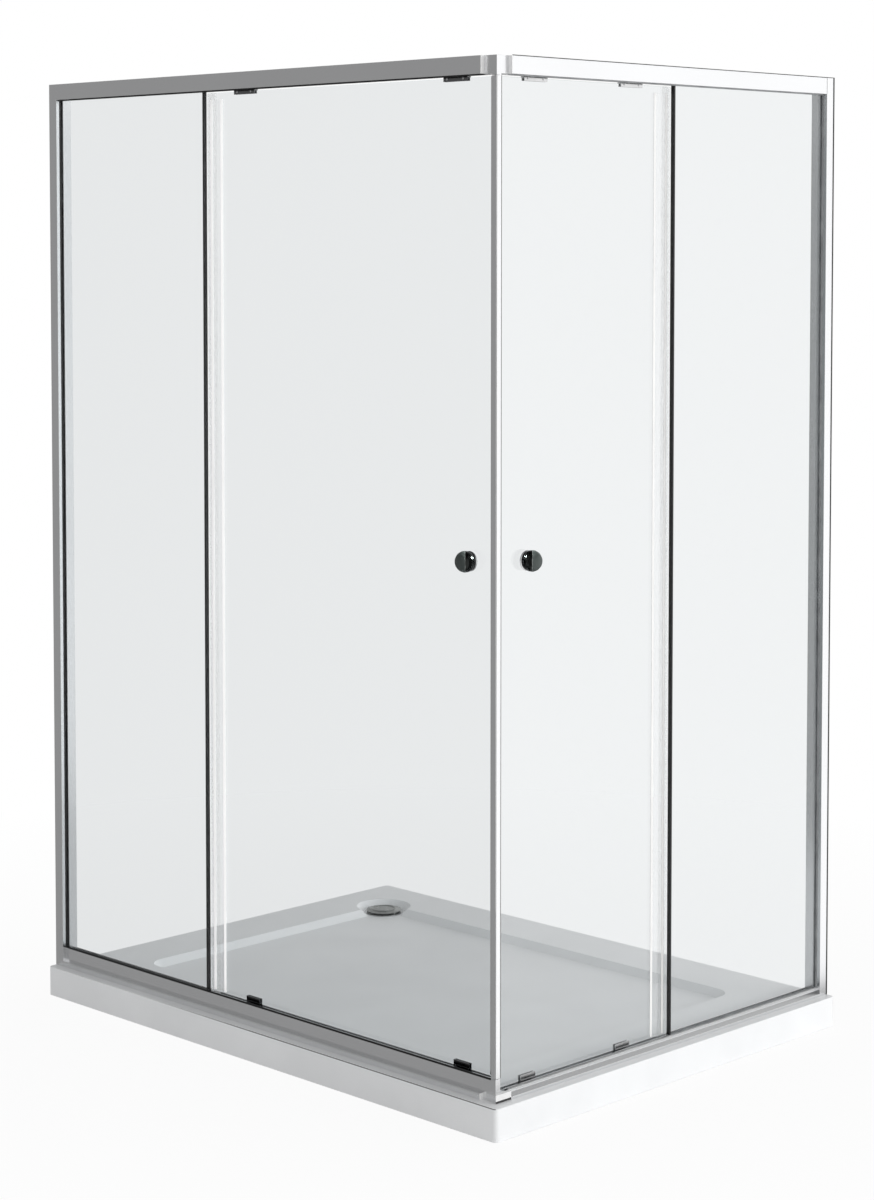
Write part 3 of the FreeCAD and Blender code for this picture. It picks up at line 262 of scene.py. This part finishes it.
def polished(name, base, rough):
    """Bright metal with a faint haze."""
    m = Shader(name)
    haze = m.noise(160, detail=4)
    smear = m.noise(25, detail=3)
    colour = m.blend(m.span(smear, 0, 1), *shades(base, 0.9))
    m.surface(Base_Color=colour, Metallic=1.0, Roughness=m.span(haze, rough * 0.8, rough * 1.5),
              Normal=m.bump(haze, 0.02, 0.0001, m.rounded(0.0003)))
    return m.finish()


GLASS_TINT = (0.855, 0.872, 0.878, 1)
GLASS_EDGE = (0.7, 0.82, 0.79, 1)
GLASS_SHADE = (0.93, 0.945, 0.95, 1)  # what each face of the glass leaves of the light


def glass_material():
    """Clear toughened glass; lamp, scattered and mirrored light passes, so the inside stays lit."""
    m = Shader("toughened_glass")
    waves = m.noise(2.2, detail=1)
    edge_tint = m.blend(wear(m, 0.0012), GLASS_TINT, GLASS_EDGE)
    clear = m.add("ShaderNodeBsdfPrincipled", {
        "Base Color": edge_tint, "Roughness": 0.0, "IOR": 1.45, "Transmission Weight": 1.0,
        "Normal": m.bump(waves, 0.01, 0.001)})
    gone = m.add("ShaderNodeBsdfTransparent", {"Color": GLASS_SHADE})
    path = m.add("ShaderNodeLightPath").outputs
    mirrored = m.add("ShaderNodeMixShader", {0: path["Is Glossy Ray"], 1: clear, 2: gone})
    bent = m.add("ShaderNodeMixShader", {0: path["Is Transmission Ray"], 1: mirrored, 2: clear})
    scattered = m.add("ShaderNodeMixShader", {0: path["Is Diffuse Ray"], 1: bent, 2: gone})
    return m.finish(m.add("ShaderNodeMixShader", {0: path["Is Shadow Ray"], 1: scattered, 2: gone}))


def rubber(name, base, rough):
    """Matt rubber with a little dust."""
    m = Shader(name)
    grain = m.noise(1200, detail=2)
    dust = m.noise(30, detail=4)
    colour = m.blend(m.span(dust, 0, 1), *reversed(shades(base, 1.7)))
    m.surface(Base_Color=colour, Roughness=m.span(grain, rough - 0.06, rough + 0.1), IOR=1.55,
              Normal=m.bump(grain, 0.1, 0.0002, m.rounded(0.0005)))
    return m.finish()


def clear_plastic(name, base, alpha, rough):
    """Water-clear seal: a thin shine over what lies behind it."""
    m = Shader(name)
    streaks = m.noise(3, (9, 9, 0.6), detail=2)
    colour = m.blend(m.span(streaks, 0, 1), *shades(base, 0.96))
    m.surface(Base_Color=colour, Roughness=m.span(streaks, rough, rough + 0.04), IOR=1.45,
              Alpha=alpha)
    return m.finish()


def moulded(name, base, rough, glow=0.0):
    """Matt plastic; glow is painted light: it stands for the daylight that a clear lip carries to its
    edge.
    """
    m = Shader(name)
    grain = m.noise(500, detail=3)
    cloud = m.noise(14, detail=2)
    colour = m.blend(m.span(cloud, 0, 1), *shades(base, 0.9))
    m.surface(Base_Color=colour, Roughness=m.span(grain, rough - 0.06, rough + 0.08), IOR=1.5,
              Emission_Color=(1, 1, 1, 1), Emission_Strength=glow,
              Normal=m.bump(grain, 0.08, 0.0002, m.rounded(0.0005)))
    return m.finish()


# Looks by name; the last numbers of a metal, rubber or plastic are its roughness and its painted glow.
MATERIALS = {
    "tray": tray_material(),
    "along_x": aluminium("aluminium_drawn_x", "X"),
    "along_y": aluminium("aluminium_drawn_y", "Y"),
    "along_z": aluminium("aluminium_drawn_z", "Z"),
    "rounded_y": aluminium("aluminium_rounded_y", "Y", edge_radius=0.0018),
    "corner": corner_material(),
    "cover": moulded("cover_white", (0.9, 0.9, 0.9), 0.35),
    "glass": glass_material(),
    "gasket": rubber("gasket_black", (0.004, 0.004, 0.0045), 0.45),
    # painted light: a lighter copy of the black gasket for the lit side wing
    "gasket_painted_lit": rubber("gasket_painted_lit", (0.2, 0.205, 0.21), 0.4),
    "stop": rubber("stop_black", (0.03, 0.03, 0.03), 0.5),
    "magnet": rubber("magnet_black", (0.02, 0.02, 0.022), 0.4),
    "clear_seal": clear_plastic("clear_pvc", (0.97, 0.975, 0.98), 0.06, 0.12),
    # painted highlight: the seal lips are matt white with a painted glow, and the side wing's lips are a
    # dimmer copy
    "front_lip_highlight": moulded("seal_lip_front_painted_highlight", (0.9, 0.9, 0.89), 0.3, 0.41),
    "side_lip_highlight": moulded("seal_lip_side_painted_highlight", (0.8, 0.8, 0.79), 0.3, 0.1),
    "washer": clear_plastic("clear_washer", (0.9, 0.9, 0.9), 0.5, 0.08),
    "knob": polished("black_nickel", (0.05, 0.054, 0.05), 0.12),
    "front_knob": painted_reflection_knob("black_nickel_front_painted_reflection", FRONT_KNOB, -1),
    "side_knob": painted_reflection_knob("black_nickel_side_painted_reflection", SIDE_KNOB, 1),
    "rosette": polished("polished_chrome", (0.72, 0.73, 0.735), 0.06),
    "screw": polished("bright_steel", (0.7, 0.7, 0.71), 0.2),
    "axle": polished("turned_steel", (0.55, 0.56, 0.57), 0.25),
    "hanger": polished("hanger_chrome", (0.2, 0.2, 0.205), 0.14),
    # painted light: a lighter copy of the hanger finish for the lit side wing
    "side_hanger_painted_lit": polished("hanger_painted_lit", (0.68, 0.68, 0.685), 0.14),
    "drain": polished("drain_satin", (0.42, 0.43, 0.42), 0.28),
    "waste": polished("waste_steel", (0.6, 0.61, 0.61), 0.18),
    "roller": moulded("roller_nylon", (0.82, 0.81, 0.78), 0.42),
    "guide": polished("guide_chrome", (0.12, 0.12, 0.125), 0.16),
    # painted light: a lighter copy of the guide finish for the lit side wing
    "side_guide_painted_lit": polished("guide_painted_lit", (0.62, 0.62, 0.625), 0.16),
}

# The look of each CAD node.
USES = {
    "shower_tray": "tray", "drain_flange": "waste", "drain_cover": "drain",
    "front_sill": "along_x", "side_sill": "along_y", "front_top_rail": "along_x",
    "side_top_rail": "rounded_y", "corner_block_top": "corner", "corner_block_bottom": "corner",
    "corner_screws": "screw",
}
for wing in ("front", "side"):
    for node, look in (
            ("wall_profile", "along_z"), ("post", "along_z"), ("post_screws", "screw"),
            ("fixed_glass", "glass"), ("glazing_gaskets", "gasket"),
            ("fixed_edge_seal", "gasket"), ("door_stop", "stop"), ("door_glass", "glass"),
            ("closing_profile", "along_z"), ("magnet_strip", "magnet"),
            ("trailing_seal", "clear_seal"), ("outer_knob", "knob"), ("inner_knob", "knob"),
            ("knob_rosettes", "rosette"), ("knob_stud", "screw"), ("knob_washers", "washer"),
            ("roller_hangers", "hanger"), ("hanger_screws", "screw"), ("roller_axles", "axle"),
            ("roller_lead", "roller"), ("roller_trail", "roller"), ("bottom_guides", "guide")):
        USES[wing + "_" + node] = look
# painted light: the side wing's gaskets, hangers and guides take the lighter copies
USES.update({
    "front_outer_knob": "front_knob", "side_outer_knob": "side_knob",
    "side_glazing_gaskets": "gasket_painted_lit", "side_roller_hangers": "side_hanger_painted_lit",
    "side_bottom_guides": "side_guide_painted_lit"})

for name, node in NODES.items():
    node.data.materials.clear()
    node.data.materials.append(MATERIALS[USES[name]])


# ---------------------------------------------------------------- fine pieces


def prism(name, outline, low, high, look, body):
    """An upright block from z = low to high over a counter-clockwise outline; it rides on a body."""
    count = len(outline)
    points = [(x, y, z) for z in (low, high) for x, y in outline]
    faces = [tuple(reversed(range(count))), tuple(range(count, 2 * count))]
    faces += [(i, (i + 1) % count, count + (i + 1) % count, count + i) for i in range(count)]
    mesh = bpy.data.meshes.new(name)
    mesh.from_pydata(points, [], faces)
    mesh.materials.append(MATERIALS[look])
    piece = bpy.data.objects.new(name, mesh)
    bpy.context.scene.collection.objects.link(piece)
    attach(piece, body)


# Metres, in the frame of the CAD. The outer faces of the two wings meet at this corner.
CORNER_X, CORNER_Y = 0.633, -0.476
BLOCK_X = 0.6248  # outer face of the lower corner block
LIP_TOP = 1.862
FRONT_LIP_FOOT, SIDE_LIP_FOOT = 0.102, 0.08  # just above each wing's sill

prism("corner_foot_cover",
      [(CORNER_X, CORNER_Y), (CORNER_X, -0.436), (BLOCK_X, -0.436), (BLOCK_X, -0.4678)],
      0.065, 0.076, "cover", "enclosure")
# painted shadow: a black strip fills the shaded gap under the foot cover
prism("corner_foot_shadow_pad", [(0.631, -0.473), (0.631, -0.4375), (BLOCK_X, -0.4375), (BLOCK_X, -0.4668)],
      0.06, 0.065, "stop", "enclosure")

# Name, low and high corner, look, body, record slot.
BLOCKS = (
    ("front_sill_lip", (-0.629, -0.4668, 0.0998), (0.611, -0.4651, 0.101),
     "gasket", "enclosure", "gasket_rubber"),
    # painted shade: black strips along the side wing's edge at the wall and along the side rail's top
    # edge, where dark shade lines fall
    ("side_wall_shade_line", (0.6325, 0.4924, 0.0602), (0.6334, 0.4959, 1.9112),
     "gasket", "enclosure", "gasket_rubber"),
    ("side_rail_shade_line", (0.6316, -0.436, 1.9098), (0.6331, 0.4925, 1.9112),
     "gasket", "enclosure", "gasket_rubber"),
    ("side_rail_joint", (0.6326, 0.4716, 1.8784), (0.6331, 0.4724, 1.9097),
     "stop", "enclosure", "stop_rubber"),
    ("side_closing_trim", (0.6228, -0.4562, 0.1016), (0.6247, -0.4547, 1.8744),
     "stop", "side_door", "stop_rubber"),
    ("front_seal_film", (-0.1499, -0.4518, FRONT_LIP_FOOT), (-0.1273, -0.4511, LIP_TOP),
     "clear_seal", "front_door", "clear_seal"),
    # painted highlight: the white glowing lips along the clear seals
    ("front_seal_lip_near", (-0.1632, -0.4528, FRONT_LIP_FOOT), (-0.1572, -0.4521, LIP_TOP),
     "front_lip_highlight", "front_door", "clear_seal"),
    ("front_seal_lip_far", (-0.1333, -0.4526, FRONT_LIP_FOOT), (-0.1273, -0.4519, LIP_TOP),
     "front_lip_highlight", "front_door", "clear_seal"),
    ("side_seal_film", (0.6081, -0.0291, SIDE_LIP_FOOT), (0.6088, -0.0051, LIP_TOP),
     "clear_seal", "side_door", "clear_seal"),
    ("side_seal_lip_near", (0.6091, 0.0032, SIDE_LIP_FOOT), (0.6098, 0.0092, LIP_TOP),
     "side_lip_highlight", "side_door", "clear_seal"),
    ("side_seal_lip_far", (0.6089, -0.0291, SIDE_LIP_FOOT), (0.6096, -0.0231, LIP_TOP),
     "side_lip_highlight", "side_door", "clear_seal"),
)
for name, low, high, look, body, slot in BLOCKS:
    outline = [(low[0], low[1]), (high[0], low[1]), (high[0], high[1]), (low[0], high[1])]
    prism(name, outline, low[2], high[2], look, body)


# ---------------------------------------------------------------- studio


# Strengths of the backdrop, for scattered light and as metal mirrors it: dark to the left-hand front,
# light to the right-hand rear, each with the share that is left overhead.
DIFFUSE_DARK = 0.76
DIFFUSE_LIGHT = 1.36
DIFFUSE_TOP = 0.44
MIRROR_DARK = 0.31
MIRROR_LIGHT = 1.17
MIRROR_TOP = 0.2
CONTACT = 0.34  # painted shadow: share of the mirrored light that the floor next to the side wing keeps
CONTACT_X, CONTACT_Y = (0.8, 0.84), (-0.47, -0.44)  # x and y over which that darkening ends
FLOOR_GLOW = 0.92  # share of the backdrop's white near the enclosure; the rest is matt, for the shadow
FLOOR_FADE = (0.8, 2.2)  # distances over which the floor turns into the backdrop
FLOOR_HALF = 30
FLOOR_DROP = 0.0005  # keeps the floor off the tray's underside
WHITE = (1, 1, 1, 1)
LIGHT_SIDE = (math.sqrt(0.5), math.sqrt(0.5), 0)
KEY_AT, KEY_TARGET = (5.5, 1.5, 1.0), (0, 0, 0.9)
KEY_SIZE, KEY_POWER = (3.5, 2.0), 92
GLINT_ASIDE, GLINT_ABOVE = 0.57, 0.593  # from a knob to its lamp
GLINT_SIZE, GLINT_POWER = (0.5, 0.5), 50


def background_share(shader, path):
    """1 for rays that show the backdrop, straight or through glass."""
    return shader.math("MAXIMUM", path["Is Camera Ray"], path["Is Transmission Ray"])


def studio():
    """White backdrop; the light falls off from the right-hand rear to the left-hand front."""
    m = Shader("studio", world=True)
    path = m.add("ShaderNodeLightPath").outputs
    direction = m.add("ShaderNodeTexCoord").outputs["Generated"]
    side = m.dot(direction, LIGHT_SIDE)
    height = m.axes(direction)["Z"]
    lit = m.math("MULTIPLY", m.span(side, DIFFUSE_DARK, DIFFUSE_LIGHT, -0.8, 0.8),
                 m.span(height, 1, DIFFUSE_TOP, 0, 1))
    mirrored = m.math("MULTIPLY", m.span(side, MIRROR_DARK, MIRROR_LIGHT, -0.25, 0.35),
                      m.span(height, 1, MIRROR_TOP, 0.35, 0.8))
    soft, sharp, white = (
        m.add("ShaderNodeBackground", {"Strength": strength, "Color": WHITE})
        for strength in (lit, mirrored, 1))
    light = m.add("ShaderNodeMixShader", {0: path["Is Glossy Ray"], 1: soft, 2: sharp})
    shown = m.add("ShaderNodeMixShader", {0: background_share(m, path), 1: light, 2: white})
    bpy.context.scene.world = m.finish(shown)


def softbox(name, location, target, size, power):
    """A rectangular lamp aimed at a point; the camera doesn't see it."""
    data = bpy.data.lights.new(name, "AREA")
    data.shape = "RECTANGLE"
    data.size, data.size_y = size
    data.energy = power
    lamp = bpy.data.objects.new(name, data)
    lamp.location = location
    lamp.rotation_euler = (Vector(target) - Vector(location)).to_track_quat("-Z", "Y").to_euler()
    lamp.visible_camera = False
    bpy.context.scene.collection.objects.link(lamp)
    return lamp


def floor_material():
    """White to the camera, fading into the backdrop; a mirror sees it glow like the lit backdrop, with a
    painted shadow next to the side wing.
    """
    m = Shader("floor_white")
    path = m.add("ShaderNodeLightPath").outputs
    grain = m.noise(40, detail=3)
    matt = m.add("ShaderNodeBsdfDiffuse", {
        "Color": m.blend(m.span(grain, 0, 1), (0.9, 0.9, 0.9, 1), (0.92, 0.92, 0.92, 1))})
    glow = m.add("ShaderNodeEmission", {"Color": WHITE, "Strength": 1})
    spot = m.place()
    distance = m.add("ShaderNodeVectorMath", {0: spot}, operation="LENGTH").outputs["Value"]
    fade = m.span(distance, FLOOR_GLOW, 1, *FLOOR_FADE)
    shown = m.add("ShaderNodeMixShader", {
        0: m.math("MULTIPLY", background_share(m, path), fade), 1: matt, 2: glow})
    at = m.axes(spot)
    # painted shadow: the mirrored glow is darker close to the side wing
    painted_contact_shadow = m.math("MAXIMUM", m.span(at["X"], CONTACT, 1, *CONTACT_X),
                    m.span(at["Y"], 1, CONTACT, *CONTACT_Y))
    strength = m.span(m.dot(spot, LIGHT_SIDE), MIRROR_DARK, MIRROR_LIGHT, -0.05, 0.25)
    mirrored = m.add("ShaderNodeEmission", {
        "Color": WHITE, "Strength": m.math("MULTIPLY", painted_contact_shadow, strength)})
    bounced = m.math("SUBTRACT", path["Is Glossy Ray"], path["Is Transmission Ray"], use_clamp=True)
    return m.finish(m.add("ShaderNodeMixShader", {0: bounced, 1: shown, 2: mirrored}))


def floor():
    """Pale floor that keeps the enclosure's shadow."""
    corners = [(-1, -1), (1, -1), (1, 1), (-1, 1)]
    mesh = bpy.data.meshes.new("floor")
    mesh.from_pydata([(x * FLOOR_HALF, y * FLOOR_HALF, 0) for x, y in corners], [], [(0, 1, 2, 3)])
    mesh.materials.append(floor_material())
    plane = bpy.data.objects.new("floor", mesh)
    plane.location.z = -FLOOR_DROP
    bpy.context.scene.collection.objects.link(plane)


def knob_glint(name, knob, spot, towards):
    """A small lamp that lights one knob alone, for the glint on its polished half."""
    place = (spot[0] + GLINT_ASIDE * towards, spot[1] + GLINT_ASIDE * towards, spot[2] + GLINT_ABOVE)
    lamp = softbox(name, place, spot, GLINT_SIZE, GLINT_POWER)
    lamp.data.use_shadow = False
    knob_only = bpy.data.collections.new(name)
    knob_only.objects.link(knob)
    lamp.light_linking.receiver_collection = knob_only


studio()
floor()
softbox("key_right", KEY_AT, KEY_TARGET, KEY_SIZE, KEY_POWER).visible_glossy = False
knob_glint("front_knob_glint", NODES["front_outer_knob"], FRONT_KNOB, 1)
knob_glint("side_knob_glint", NODES["side_outer_knob"], SIDE_KNOB, -1)
